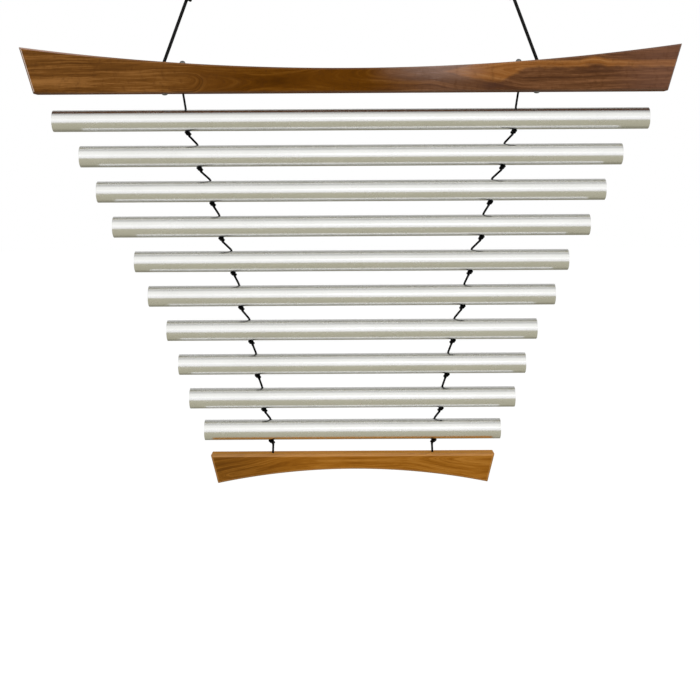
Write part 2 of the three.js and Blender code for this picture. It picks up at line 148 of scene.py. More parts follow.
# Camera, at the photograph's viewpoint: 1.5 m in front, looking down by about 8 degrees
SENSOR_WIDTH = 36
FRAME_WIDTH = 700
FOCAL_PIXELS = 1232.5
CAMERA_PLACE = (-0.0041, -1.5, -0.2479)
CAMERA_PITCH = math.radians(-7.985)
CAMERA_ROLL = math.radians(-0.325)
CAMERA_YAW = math.radians(0.058)


def make_camera():
    data = bpy.data.cameras.new("camera")
    data.sensor_width = SENSOR_WIDTH
    data.lens = SENSOR_WIDTH * FOCAL_PIXELS / FRAME_WIDTH
    data.clip_end = 100
    camera = bpy.data.objects.new("camera", data)
    turn = Matrix.Rotation(-CAMERA_YAW, 4, "Z") @ Matrix.Rotation(math.pi / 2 + CAMERA_PITCH, 4, "X")
    camera.matrix_world = Matrix.Translation(CAMERA_PLACE) @ turn @ Matrix.Rotation(CAMERA_ROLL, 4, "Z")
    bpy.context.scene.collection.objects.link(camera)
    bpy.context.scene.camera = camera


make_camera()


# Plain arithmetic on shader node outputs
class Field:
    """A number that varies over a surface: the output of a node."""

    def __init__(self, paint, socket):
        self.paint = paint
        self.socket = socket

    def __add__(self, other):
        return self.paint.math("ADD", self, other)

    def __sub__(self, other):
        return self.paint.math("SUBTRACT", self, other)

    def __rsub__(self, other):
        return self.paint.math("SUBTRACT", other, self)

    def __mul__(self, other):
        return self.paint.math("MULTIPLY", self, other)

    def __truediv__(self, other):
        return self.paint.math("DIVIDE", self, other)


class Paint:
    """Builds one material, or the world, out of nodes around a shader."""

    def __init__(self, name, kind=bpy.data.materials, shader="Principled BSDF", **constants):
        self.made = kind.new(name)
        self.made.use_nodes = True
        self.tree = self.made.node_tree
        self.shader = self.tree.nodes[shader]
        for key, value in constants.items():
            self.shader.inputs[key.replace("_", " ")].default_value = value

    def node(self, kind, inputs=(), **settings):
        made = self.tree.nodes.new(kind)
        for key, value in settings.items():
            setattr(made, key, value)
        for key, value in dict(inputs).items():
            self.feed(made.inputs[key], value)
        return made

    def feed(self, socket, value):
        if isinstance(value, Field):
            value = value.socket
        elif isinstance(value, bpy.types.Node):
            value = value.outputs[0]
        if isinstance(value, bpy.types.NodeSocket):
            self.tree.links.new(value, socket)
        else:
            socket.default_value = value

    def math(self, operation, first, second=0.0):
        return Field(self, self.node("ShaderNodeMath", {0: first, 1: second}, operation=operation).outputs[0])

    def parts(self, name):
        """The three parts of a texture coordinate, in metres for places."""
        source = self.node("ShaderNodeTexCoord").outputs[name]
        return [Field(self, part) for part in self.node("ShaderNodeSeparateXYZ", {0: source}).outputs]

    def place(self):
        """The place on the object in millimetres, as three fields."""
        return [part / MM for part in self.parts("Object")]

    def facing(self):
        """The surface's own direction on the object, as three fields."""
        return self.parts("Normal")

    def noise(self, x, y, z, detail=2.0, roughness=0.5):
        place = self.node("ShaderNodeCombineXYZ", {0: x, 1: y, 2: z}).outputs[0]
        made = self.node("ShaderNodeTexNoise", {
            "Vector": place, "Scale": 1.0, "Detail": detail, "Roughness": roughness})
        return Field(self, made.outputs["Fac"])

    def step(self, value, low, high, start=0.0, end=1.0):
        """Goes smoothly from start to end while value goes from low to high."""
        made = self.node("ShaderNodeMapRange", {
            "Value": value, "From Min": low, "From Max": high, "To Min": start, "To Max": end},
            interpolation_type="SMOOTHSTEP")
        return Field(self, made.outputs[0])

    def bell(self, value, centre, width):
        """1 where value is at the centre, falling to 0.37 a width away."""
        away = (value - centre) / width
        return self.math("EXPONENT", away * away * -1)

    def mix(self, share, first, second):
        made = self.node("ShaderNodeMix", data_type="RGBA")
        for socket, value in ((0, share), (6, first), (7, second)):
            self.feed(made.inputs[socket], (*value, 1) if isinstance(value, tuple) else value)
        return made.outputs[2]

    def tones(self, share, dark, middle, light):
        """Three colours as seen on a screen, for shares 0, 0.5 and 1."""
        return self.ramp(share, (0, rgb(*dark)), (0.5, rgb(*middle)), (1, rgb(*light)))

    def ramp(self, share, *stops):
        made = self.node("ShaderNodeValToRGB", {0: share})
        elements = made.color_ramp.elements
        while len(elements) < len(stops):
            elements.new(0.5)
        for element, (position, colour) in zip(elements, stops):
            element.position = position
            element.color = (*colour, 1)
        return made.outputs[0]

    def finish(self, colour, roughness, height, depth):
        """Feeds colour, roughness and relief, whose depth is in metres, into the shader."""
        bump = self.node("ShaderNodeBump", {"Strength": 1.0, "Distance": depth, "Height": height})
        for name, value in (("Base Color", colour), ("Roughness", roughness), ("Normal", bump)):
            self.feed(self.shader.inputs[name], value)
        return self.made

    def show(self, shader):
        """Puts another shader in the first one's place."""
        self.tree.nodes.remove(self.shader)
        self.feed(self.tree.nodes["Material Output"].inputs["Surface"], shader)
        return self.made


def rgb(red, green, blue):
    """A colour as seen on a screen, 0 to 255, in linear light."""
    return tuple(c / 12.92 if c < 0.04045 else ((c + 0.055) / 1.055) ** 2.4
                 for c in (red / 255, green / 255, blue / 255))


# Finishes. Places, and the sizes that divide them in the noises, are in millimetres on the object.
def grain(paint, lift, x, y, ring):
    """Streaks of teak at four widths, as a field about one half. They follow the rings and run along X."""
    broad = paint.noise(x / 190 + lift, y / 16, ring / 6, 2)
    middle = paint.noise(x / 80 + lift, y / 7, ring / 2.1, 3, 0.6)
    narrow = paint.noise(x / 32, y / 2.2, ring / 0.9 + lift, 3, 0.6)
    fibre = paint.noise(x / 10, y / 0.5, ring / 0.4 + lift, 2)
    return broad * 0.27 + middle * 0.35 + narrow * 0.28 + fibre * 0.1


def pores(paint, x, y, height):
    """Short dark dashes where the wood's vessels are cut."""
    dash = paint.noise(x / 3.2, y / 0.35, height / 0.22, 1)
    patch = paint.noise(x / 60, y / 9, height / 3, 2)
    return paint.step(dash, 0.63, 0.75) * paint.step(patch, 0.4, 0.6, 0.35, 1.0)


def end_grain(paint, colour, facing_x, x, y, height, low, high):
    """Lays rings and pores over colour where the surface is a cut end."""
    bow = paint.math("SQRT", (y + 9) * (y + 9) + (height + 60) * (height + 60))
    rings = paint.noise(bow / 1.9, 0.5, 0.5, 2)
    dots = paint.noise(x / 4, y / 0.45, height / 0.45, 1)
    cut = rings * 0.7 + paint.step(dots, 0.62, 0.7) * -0.25 + 0.12
    share = paint.step(paint.math("ABSOLUTE", facing_x), 0.7, 0.85)
    return paint.mix(share, colour, paint.ramp(cut, (0.25, low), (0.75, high)))


def cathedral(paint, away, heart, arrow):
    """Rings as a board shows them: nested arches where the heart's depth changes along the board, nested
    arrowheads where the arrow's does, and straight lines elsewhere."""
    return paint.math("SQRT", away * away + heart * heart + 1.5) + arrow + away * 0.25


def dark_teak(name, dullness, **gloss):
    paint = Paint(name, **gloss)
    x, y, z = paint.place()
    height = z - TOP_BOTTOM_Z / MM
    wander = paint.noise(x / 170, y / 40, height / 40, 2) - 0.5
    ripple = paint.noise(x / 42, y / 16, height / 9, 3) - 0.5
    level = paint.step(x, -150, 70, 11, 22)
    peak = paint.bell(x, 289, 13) * paint.step(height, 24, 34)
    curl = paint.noise(x / 13, y / 6, height / 4, 2) - 0.5
    away = height - level + y * 0.3 + wander * 8 + ripple * 3.2 + curl * 1.5 - peak * 3
    heart = paint.step(x, -196, -168, 0, 12) + paint.step(x, -168, -100, 0, 4)
    heart = heart * paint.step(x, -70, 112, 1, 0)
    arrow = paint.math("MINIMUM", paint.math("MAXIMUM", (x - 96) * -0.13, -14.0), 0.0)
    ring = cathedral(paint, away, heart, arrow)
    tone = grain(paint, 3.1, x, y, ring)
    calm = paint.bell(x, -168, 34) * 0.5 + paint.bell(x, 140, 40) * 0.4 + paint.bell(x, -20, 85) * 0.55
    share = paint.step((tone - 0.5) * (1 - calm) + 0.5, 0.34, 0.66)
    drift = (paint.noise(x / 60, y / 20, ring / 9, 2) - 0.5) * 90
    golden = paint.tones(share, (84, 50, 16), (114, 72, 28), (150, 102, 52))
    deep = paint.tones(share, (68, 35, 0), (97, 55, 4), (128, 82, 24))
    russet = paint.tones(share, (72, 43, 25), (100, 64, 38), (132, 89, 58))
    colour = paint.mix(paint.step(x + drift, -270, -90), golden, deep)
    colour = paint.mix(paint.step(x + drift, 10, 110), colour, russet)
    # Thin dark arches round the heart at the left
    arches = paint.bell(ring, 9.9, 0.5) + paint.bell(ring, 8.2, 0.3) * 0.5 + paint.bell(ring, 14, 0.5) * 0.4
    arches = arches * paint.step(x, -232, -196) * paint.step(x, -96, -128)
    colour = paint.mix(arches * 0.5, colour, rgb(66, 38, 12))
    # An orange flame that points left, and an orange streak that runs on from it under the top edge
    top = height - peak * 4 + ripple * 2.6 + curl * 1.6
    flame_low = paint.step(x, 96, 176, 22.5, 10) + paint.step(x, 172, 216, 0, 17)
    flame_high = paint.step(x, 96, 170, 22.5, 36)
    flame = paint.step(top - flame_low + curl * 5, -1.5, 3.5) * paint.step(x, 100, 112)
    flame = flame * paint.step(flame_high - top + curl * 3, -1, 2.2)
    streak = paint.bell(top, 32.6, paint.step(x, 190, 262, 3.6, 1.4)) * paint.step(x, 150, 200)
    streak = streak * paint.step(x, 368, 318)
    orange = paint.tones(share, (128, 76, 30), (148, 95, 46), (170, 118, 68))
    colour = paint.mix(paint.math("MAXIMUM", flame, streak) * 0.9, colour, orange)
    # Dark patches under the flame's lower tip and under the streak's peak
    shimmer = paint.noise(x / 3.5, y / 5, height / 9, 2)
    patch = paint.bell(x, 170, 17) * paint.bell(height, 7, 5)
    patch = patch + paint.bell(x, 291, 12) * paint.bell(height, 26, 4) * 0.5
    colour = paint.mix(patch * (shimmer * 0.9 + 0.2), colour, rgb(72, 46, 36))
    # Painted reflection: a soft greyish veil left of the flame, and painted glints in fine bright strokes
    # under the top edge
    painted_glints = paint.step(paint.noise(x / 18, y / 2, height / 0.5, 2), 0.5, 0.72)
    painted_reflection = paint.step(x, 16, 112) * paint.step(x, 176, 112)
    painted_reflection = painted_reflection * (paint.step(height, 8, 25) * 0.5 + 0.08) * (painted_glints * 0.7 + 0.7)
    colour = paint.mix(painted_reflection, colour, rgb(166, 140, 130))
    # A greyer right end, which is painted reflection too
    colour = paint.mix(paint.step(x, 290, 370) * 0.4, colour, rgb(124, 88, 74))
    mottle = paint.noise(x / 5, y / 9, height / 7, 2)
    colour = paint.mix(paint.step(mottle, 0.5, 0.8) * 0.3, colour, rgb(70, 38, 14))
    # Painted reflection of the sky: paler on the upward-facing edge at the far left
    facing_x, _, facing_z = paint.facing()
    painted_sky_sheen = paint.step(x, -262, -360) * paint.step(facing_z, 0.12, 0.4)
    colour = paint.mix(painted_sky_sheen * 0.8, colour, rgb(172, 140, 126))
    colour = end_grain(paint, colour, facing_x, x, y, height, rgb(52, 28, 12), rgb(96, 60, 32))
    # Painted highlight: a pale line along the rounded edges of the left end
    painted_edge_highlight = paint.step(facing_x, -0.05, -0.15) * paint.step(facing_x, -0.45, -0.3)
    painted_edge_highlight = painted_edge_highlight * paint.step(x, -340, -370)
    colour = paint.mix(painted_edge_highlight * 0.8, colour, rgb(214, 196, 182))
    pore = pores(paint, x, y, height)
    colour = paint.mix(pore * 0.35, colour, rgb(52, 28, 10))
    colour = paint.mix(dullness, colour, rgb(132, 90, 66))
    rough = paint.noise(x / 20, y / 20, height / 20, 3) * 0.16 + 0.27
    relief = tone * 0.5 - pore * 0.3 + paint.noise(x / 55, y / 30, height / 14, 2) * 6
    return paint.finish(colour, rough, relief, 0.00003)


def golden_teak(name, dullness, **gloss):
    paint = Paint(name, **gloss)
    x, y, z = paint.place()
    height = z - LOWER_TOP_Z / MM
    wander = paint.noise(x / 140 + 7, y / 30, height / 30, 2) - 0.5
    ripple = paint.noise(x / 36, y / 14, height / 8 + 3, 3) - 0.5
    fall = paint.step(x, -50, -172) * 17
    away = height + 10 + y * 0.28 + wander * 9 + ripple * 2.6 + fall
    heart = paint.step(x, -176, -140, 8, 0)
    arrow = paint.math("MINIMUM", paint.math("MAXIMUM", (x - 66) * -0.14, -12.0), 0.0)
    ring = cathedral(paint, away, heart, arrow)
    tone = grain(paint, 8.4, x, y, ring)
    share = paint.step(tone, 0.36, 0.64)
    colour = paint.tones(share, (126, 72, 6), (154, 96, 22), (180, 121, 46))
    olive = paint.step(x + height * 1.4, -60, -190) * 0.85
    colour = paint.mix(olive, colour, paint.tones(share, (92, 54, 8), (118, 73, 17), (148, 96, 32)))
    colour = end_grain(paint, colour, paint.facing()[0], x, y, height, rgb(98, 56, 18), rgb(150, 96, 42))
    pore = pores(paint, x, y, height)
    colour = paint.mix(pore * 0.4, colour, rgb(96, 54, 14))
    colour = paint.mix(dullness, colour, rgb(214, 156, 84))
    rough = paint.noise(x / 18, y / 18, height / 18, 3) * 0.14 + 0.34
    relief = tone * 0.5 - pore * 0.4
    return paint.finish(colour, rough, relief, 0.00004)


def tube_aluminium():
    paint = Paint("satin_drawn_aluminium", Metallic=1.0)
    x, y, z = paint.place()
    drawn = paint.noise(x / 90, y / 0.16, z / 0.16, 2)
    cloud = paint.noise(x / 45, y / 30, z / 30, 3)
    handled = paint.noise(x / 14, y / 7, z / 7, 3)
    colour = paint.ramp(cloud * 0.6 + drawn * 0.4, (0.25, (0.83, 0.83, 0.82)), (0.75, (0.91, 0.91, 0.91)))
    rough = drawn * 0.08 + paint.step(handled, 0.5, 0.75, 0, 0.05) + 0.21
    return paint.finish(colour, rough, drawn, 0.000004)


def black_braid(name, glint_grey):
    paint = Paint(name, Specular_IOR_Level=0.05)
    raised = Field(paint, paint.node("ShaderNodeAttribute", attribute_name="raised").outputs["Fac"])
    x, y, z = paint.place()
    fibre = paint.noise(x / 0.12, y / 0.12, z / 0.5, 2)
    # Painted highlights: grey on the crowns where a strand stands out, where the braid would catch the light
    lit = paint.step(raised + (fibre - 0.5) * 0.3, 0.62, 1.0)
    colour = paint.mix(lit, rgb(2, 2, 3), rgb(glint_grey, glint_grey, glint_grey))
    rough = fibre * 0.2 + 0.5
    return paint.finish(colour, rough, fibre, 0.00003)


def stop_metal():
    paint = Paint("dull_grey_metal", Metallic=1.0)
    x, y, z = paint.place()
    mottle = paint.noise(x / 1.6, y / 1.6, z / 1.6, 3)
    fine = paint.noise(x / 0.3, y / 0.3, z / 0.3, 2)
    colour = paint.ramp(mottle, (0.3, (0.17, 0.17, 0.17)), (0.7, (0.27, 0.27, 0.265)))
    return paint.finish(colour, mottle * 0.2 + 0.3, fine, 0.00001)


# Meshes
CUTTER_SIDES = 40


def make_object(name, vertices, faces, material):
    mesh = bpy.data.meshes.new(name)
    mesh.from_pydata([tuple(v) for v in vertices], [], [tuple(f) for f in faces])
    mesh.validate()
    mesh.polygons.foreach_set("use_smooth", [True] * len(mesh.polygons))
    mesh.materials.append(material)
    made = bpy.data.objects.new(name, mesh)
    bpy.context.scene.collection.objects.link(made)
    return made


def ring_faces(ring_count, sides, closed=False):
    """Four-sided faces between rings of points that follow one another."""
    faces = []
    for ring in range(ring_count if closed else ring_count - 1):
        here, there = ring * sides, (ring + 1) % ring_count * sides
        for k in range(sides):
            after = (k + 1) % sides
            faces.append((here + k, here + after, there + after, there + k))
    return faces


def capped_faces(ring_count, sides):
    """Ring faces, and three-sided ones to the two points that follow the rings and close their ends."""
    faces = ring_faces(ring_count, sides)
    first, base = ring_count * sides, (ring_count - 1) * sides
    for k in range(sides):
        after = (k + 1) % sides
        faces += [(first, after, k), (first + 1, base + k, base + after)]
    return faces


def cut_away(target, cutters):
    """Cuts the cutters out of the target and deletes them."""
    for cutter in cutters:
        modifier = target.modifiers.new("cut", "BOOLEAN")
        modifier.operation = "DIFFERENCE"
        modifier.solver = "EXACT"
        modifier.object = cutter
    bake_modifiers(target)
    for cutter in cutters:
        bpy.data.objects.remove(cutter)


def bake_modifiers(target):
    bpy.context.view_layer.update()
    evaluated = target.evaluated_get(bpy.context.evaluated_depsgraph_get())
    mesh = bpy.data.meshes.new_from_object(evaluated)
    target.modifiers.clear()
    old = target.data
    target.data = mesh
    bpy.data.meshes.remove(old)
    mesh.name = target.name


def turned(name, profile, material, sides, centre, flip=False):
    """A solid turned about a vertical axis from (radius, height) points, first and last on the axis."""
    x, y, z = centre
    sign = -1 if flip else 1
    vertices = []
    for radius, height in profile[1:-1]:
        for k in range(sides):
            angle = 2 * math.pi * k / sides
            vertices.append((x + radius * math.cos(angle), y + radius * math.sin(angle), z + sign * height))
    vertices += [(x, y, z + sign * height) for _, height in (profile[0], profile[-1])]
    faces = capped_faces(len(profile) - 2, sides)
    if flip:
        faces = [tuple(reversed(f)) for f in faces]
    return make_object(name, vertices, faces, material)


def upright_cutter(radius, x, bottom, top):
    return turned("cutter", [(0, bottom), (radius, bottom), (radius, top), (0, top)], CUTTER_FINISH,
                  CUTTER_SIDES, (x, 0, 0))


def sharpen(target, degrees):
    """Smooth shading, but for edges sharper than this, and corners shaded by their larger faces."""
    target.data.polygons.foreach_set("use_smooth", [True] * len(target.data.polygons))
    target.data.set_sharp_from_angle(angle=math.radians(degrees))
    weighted = target.modifiers.new("weighted", "WEIGHTED_NORMAL")
    weighted.keep_sharp = True
    weighted.weight = 100
    bake_modifiers(target)


# Bars. Their flat edge is dull, their front and back are plain, and the rest is polished.
ARC_STEPS = 96
ROUND_STEPS = 7
CORNER_STEPS = 6
LEAST_CORNER = 0.02 * MM
MERGE_WITHIN = 1e-7
BAR_SHARP_DEGREES = 40
FLAT_EDGE = {"facing": 0.999, "within": 0.1 * MM}
PLAIN_FACING = 0.98


def arc(centre, radius, start, end):
    """The points of a corner's round."""
    angles = [start + (end - start) * k / CORNER_STEPS for k in range(CORNER_STEPS + 1)]
    return [centre + radius * np.array([math.cos(angle), math.sin(angle)]) for angle in angles]


def bar_outline(bar, up, inset):
    """The bar's profile, drawn in by inset. Corners and both long edges keep their count of points."""
    radius = arc_radius(bar)
    arc_centre = np.array([0, bar["middle"] + radius])
    size = max(bar["corner"] - inset, LEAST_CORNER)
    corner = inset + size
    flat_corner = np.array([bar["flat"] / 2, 0.0])
    hollow_corner = np.array([bar["hollow"] / 2, bar["end"]])
    along = unit(hollow_corner - flat_corner)
    outward = np.array([along[1], -along[0]])
    # Centre of the round at the flat edge's end
    low = np.array([(flat_corner @ outward - corner - corner * outward[1]) / outward[0], corner])
    # Centre of the round at the hollowed edge's end: on the slanting line and on a wider arc
    reach = radius + corner
    start = flat_corner - outward * corner - arc_centre
    b, c = start @ along, start @ start - reach**2
    roots = [-b - math.sqrt(b * b - c), -b + math.sqrt(b * b - c)]
    high = min((arc_centre + start + along * t for t in roots), key=lambda p: abs(p[1] - bar["end"]))
    slope = math.atan2(outward[1], outward[0])
    to_centre = arc_centre - high
    points = arc(low, size, -math.pi / 2, slope)
    points += arc(high, size, slope, math.atan2(to_centre[1], to_centre[0]))
    sweep = math.atan2(high[0], arc_centre[1] - high[1])
    for k in range(1, ARC_STEPS):
        angle = sweep * (1 - 2 * k / ARC_STEPS)
        points.append(arc_centre + (radius + inset) * np.array([math.sin(angle), -math.cos(angle)]))
    points += [p * (-1, 1) for p in reversed(points[: 2 * (CORNER_STEPS + 1)])]
    left_end, right_end = points[-1], points[0]
    for k in range(1, ARC_STEPS):
        share = k / ARC_STEPS
        points.append(left_end * (1 - share) + right_end * share)
    outline = np.array(points)
    if not up:
        outline[:, 1] *= -1
    return outline


def make_bar(name, bar, up, level, slot, cutters):
    rings = []
    for side, steps in ((-1, range(ROUND_STEPS + 1)), (1, range(ROUND_STEPS, -1, -1))):
        for k in steps:
            angle = math.pi / 2 * k / ROUND_STEPS
            inset = bar["edge"] * (1 - math.sin(angle))
            depth = BAR_THICKNESS / 2 - bar["edge"] * (1 - math.cos(angle))
            outline = bar_outline(bar, up, inset)
            y = np.full(len(outline), side * depth)
            rings.append(np.column_stack([outline[:, 0], y, outline[:, 1] + level]))
    sides = len(rings[0])
    faces = ring_faces(len(rings), sides)
    # Front and back faces: strips between the flat and the hollowed edge
    corner_points = 2 * (CORNER_STEPS + 1)
    hollow = list(range(corner_points - 1, corner_points + ARC_STEPS))
    flat = [0] + list(range(sides - 1, sides - ARC_STEPS, -1)) + [2 * corner_points + ARC_STEPS - 2]
    left_end = corner_points + ARC_STEPS - 1
    loops = [list(range(corner_points)), list(range(left_end, left_end + corner_points))]
    loops += [[flat[k], hollow[k], hollow[k + 1], flat[k + 1]] for k in range(ARC_STEPS)]
    for offset, order in ((0, 1), ((len(rings) - 1) * sides, -1)):
        faces += [tuple(offset + p for p in loop[::order]) for loop in loops]
    made = make_object(name, np.concatenate(rings), faces, FINISHES[slot])
    fix_direction(made)
    cut_away(made, cutters)
    sharpen(made, BAR_SHARP_DEGREES)
    for finish in ("polished", "dull"):
        made.data.materials.append(FINISHES[f"{slot}_{finish}"])
    for polygon in made.data.polygons:
        near = abs(polygon.center.z - level) < FLAT_EDGE["within"]
        if near and abs(polygon.normal.z) > FLAT_EDGE["facing"]:
            polygon.material_index = 2
        elif abs(polygon.normal.y) < PLAIN_FACING:
            polygon.material_index = 1
    return made


def fix_direction(target):
    """Turns all faces outward."""
    work = bmesh.new()
    work.from_mesh(target.data)
    bmesh.ops.remove_doubles(work, verts=work.verts, dist=MERGE_WITHIN)
    bmesh.ops.recalc_face_normals(work, faces=work.faces)
    work.to_mesh(target.data)
    work.free()


def stop_cutters(held_radius, x, seat, far, surface):
    """Seat, barrel bore and cord hole of one stop."""
    down = 1 if far > seat else -1
    bore = seat + down * (STOP["length"] + CLEARANCE)
    beyond = down * STOP["overshoot"]
    cuts = ((seat, surface - beyond, STOP["dome"] + CLEARANCE),
            (seat - beyond, bore, STOP["barrel"] + CLEARANCE),
            (bore - beyond, far + beyond, held_radius + HOLE_CLEARANCE))
    return [upright_cutter(radius, x, min(a, b), max(a, b)) for a, b, radius in cuts]


CUTTER_FINISH = bpy.data.materials.new("cutter_finish")
FINISHES = {
    "teak_dark": dark_teak("varnished_dark_teak", 0.0, Specular_IOR_Level=0.02),
    "teak_dark_polished": dark_teak("polished_dark_teak", 0.0, Specular_IOR_Level=0.15, Coat_Weight=0.4,
                                    Coat_Roughness=0.12),
    "teak_dark_dull": dark_teak("dull_dark_teak", 0.6, Specular_IOR_Level=0.0),
    "teak_light": golden_teak("oiled_golden_teak", 0.0, Specular_IOR_Level=0.06),
    "teak_light_polished": golden_teak("polished_golden_teak", 0.35, Specular_IOR_Level=0.15, Coat_Weight=0.4,
                                       Coat_Roughness=0.1),
    "teak_light_dull": golden_teak("dull_golden_teak", 0.5, Specular_IOR_Level=0.0),
    "aluminium": tube_aluminium(),
    "black_string": black_braid("black_string_braid", 14),
    "black_cord": black_braid("black_cord_braid", 62),
    "stop_metal": stop_metal(),
}


# Braided strings and cords. carriers is how many strands a braid has, lay the length in which a strand
# runs once round, and depth how far the strands stand out. A braid's outer radius is its mean radius
# times its fullness. A strand's crown is highest where it crosses over.
CORD_BRAID = {"carriers": 12, "lay": 14 * MM, "depth": 0.16 * MM}
CORD_FULLNESS = 1.08
STRING_BRAID = {"carriers": 8, "lay": 7 * MM, "depth": 0.06 * MM}
STRING_FULLNESS = 1.14
CROWN = {"power": 0.6, "mean": 0.6, "crossing": 0.4, "second_hand": 0.6}
BALL_STEPS = 5
STRAIGHT_POINTS = 12
CURVE_POINTS = 40
RIM_POINTS = 16
LEAST_TURN = 1e-9


def straight(start, end):
    return np.linspace(start, end, STRAIGHT_POINTS)


def bezier(p0, p1, p2, p3):
    t = np.linspace(0, 1, CURVE_POINTS)[:, None]
    return (1 - t) ** 3 * p0 + 3 * (1 - t) ** 2 * t * p1 + 3 * (1 - t) * t**2 * p2 + t**3 * p3


def gaps(line):
    return np.linalg.norm(np.diff(line, axis=0), axis=1)


def even_points(pieces, step):
    """Joins stretches of points into one line and spaces its points evenly."""
    line = np.concatenate(pieces)
    line = line[np.concatenate([[True], gaps(line) > MERGE_WITHIN])]
    walked = np.concatenate([[0], np.cumsum(gaps(line))])
    count = max(2, round(walked[-1] / step) + 1)
    at = np.linspace(0, walked[-1], count)
    return np.column_stack([np.interp(at, walked, line[:, k]) for k in range(3)]), at


def braided(name, pieces, radius, material, carriers, lay, depth, sides, step, round_end=True, swell=None):
    """A braid along a line: strands of two hands cross over and under each other. swell thickens it by
    the way walked along the line. The attribute raised is high where a strand stands out."""
    points, at = even_points(pieces, step)
    tangents = np.gradient(points, axis=0)
    tangents /= np.linalg.norm(tangents, axis=1)[:, None]
    normal = unit(np.cross([0, 1, 0], tangents[0]))
    angles = 2 * np.pi * np.arange(sides) / sides
    rings, heights = [], []
    size = np.full(len(points), radius) if swell is None else radius * swell(at)
    centres = [(points[0] - tangents[0] * size[0] * math.cos(a), tangents[0], math.sin(a), 0, at[0])
               for a in np.linspace(0, math.pi / 2, BALL_STEPS + 1)[1:-1]]
    centres += [(p, t, 1.0, k, at[k]) for k, (p, t) in enumerate(zip(points, tangents))]
    if round_end:
        centres += [(points[-1] + tangents[-1] * size[-1] * math.cos(a), tangents[-1], math.sin(a),
                     len(points) - 1, at[-1]) for a in np.linspace(math.pi / 2, 0, BALL_STEPS + 1)[1:-1]]
    previous = tangents[0]
    for centre, tangent, share, index, walked in centres:
        axis = np.cross(previous, tangent)
        sine, cosine = np.linalg.norm(axis), previous @ tangent
        if sine > LEAST_TURN:
            axis /= sine
            normal = (normal * cosine + np.cross(axis, normal) * sine + axis * (axis @ normal) * (1 - cosine))
        normal = unit(normal - tangent * (normal @ tangent))
        previous = tangent
        around = angles / (2 * np.pi) * carriers / 2
        along = walked / lay * carriers / 2
        first, second = around + along, around - along
        over = CROWN["crossing"] * np.cos(np.pi * (first + second + 2 * along))
        crown_one = np.abs(np.cos(np.pi * first)) ** CROWN["power"] * (CROWN["mean"] + over)
        crown_two = np.abs(np.cos(np.pi * second)) ** CROWN["power"] * (CROWN["mean"] - over)
        relief = np.maximum(crown_one, crown_two)
        reach = (size[index] - depth * (1 - relief)) * share
        binormal = np.cross(tangent, normal)
        rings.append(centre + np.outer(reach * np.cos(angles), normal)
                     + np.outer(reach * np.sin(angles), binormal))
        heights.append(np.where(crown_one > crown_two, relief, relief * CROWN["second_hand"]))
    vertices = np.concatenate([*rings, [points[0] - tangents[0] * size[0]],
                               [points[-1] + tangents[-1] * (size[-1] if round_end else 0)]])
    made = make_object(name, vertices, capped_faces(len(rings), sides), material)
    raised = made.data.attributes.new("raised", "FLOAT", "POINT")
    raised.data.foreach_set("value", np.concatenate([*heights, [0.5, 0.5]]).astype(np.float32))
    return made, points, at[-1]


# Hanging cords, the same route as the solids': up, leaning in, round an eye, and wound back round itself
def hang_cord(side, side_name):
    up = np.array([-side * math.sin(CORD_LEAN), 0, math.cos(CORD_LEAN)])
    out = np.array([side * math.cos(CORD_LEAN), 0, math.sin(CORD_LEAN)])
    front = np.array([0, -1.0, 0])
    start = np.array([side * TOP_CORD_X, 0, CORD_ENTRY_Z])
    eye_top = HANG_HEIGHT / math.cos(CORD_LEAN) + CORD_RADIUS
    wrap_radius = 2 * CORD_RADIUS + EYE["gap"]
    foot = eye_top - EYE["height"]
    radius = EYE["width"] / 2
    middle = eye_top - radius
    reach = EYE["side_reach"] * (middle - foot)

    def place(along, outward, forward=0.0):
        return start + up * along + out * outward + front * forward

    def wind(share):
        turned_by = math.pi / 2 + EYE["wraps"] * share * 2 * math.pi
        return place(foot - 2 * CORD_RADIUS - EYE["wraps"] * wrap_radius * share,
                     wrap_radius * math.cos(turned_by), wrap_radius * math.sin(turned_by))

    winding = np.array([wind(share) for share in np.linspace(0, 1, CURVE_POINTS * EYE["wraps"])])
    into = unit(winding[1] - winding[0])
    onward = unit(winding[-1] - winding[-2])
    arch = np.array([place(middle + radius * math.sin(a), radius * math.cos(a))
                     for a in np.linspace(math.pi, 0, CURVE_POINTS)])
    pieces = [
        straight(start, place(foot, 0)),
        bezier(place(foot, 0), place(foot + reach, 0), place(middle - reach, -radius),
               place(middle, -radius)),
        arch,
        bezier(place(middle, radius), place(middle - reach, radius), place(foot + reach, wrap_radius),
               place(foot, wrap_radius)),
        bezier(place(foot, wrap_radius), place(foot - 2 * CORD_RADIUS, wrap_radius),
               winding[0] - into * 2 * CORD_RADIUS, winding[0]),
        winding,
        straight(winding[-1], winding[-1] + onward * EYE["tail"]),
    ]
    rope, points, length = braided(f"{side_name}_rope", pieces, CORD_RADIUS * CORD_FULLNESS,
                                   FINISHES["black_cord"], **CORD_BRAID, sides=40, step=0.25 * MM)
    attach(rope, "hanging_cords")
    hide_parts(f"{side_name}_hanging_cord")
    bottom = np.array([side * TOP_CORD_X, 0, CORD_SEAT_Z - CLEARANCE + BORE_END])
    tail, _, _ = braided(f"{side_name}_rope_end", [straight(start, bottom)], CORD_RADIUS,
                         FINISHES["black_cord"], **CORD_BRAID, sides=32, step=0.4 * MM, round_end=False)
    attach(tail, "upper_bar")
    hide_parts(f"{side_name}_cord_end")


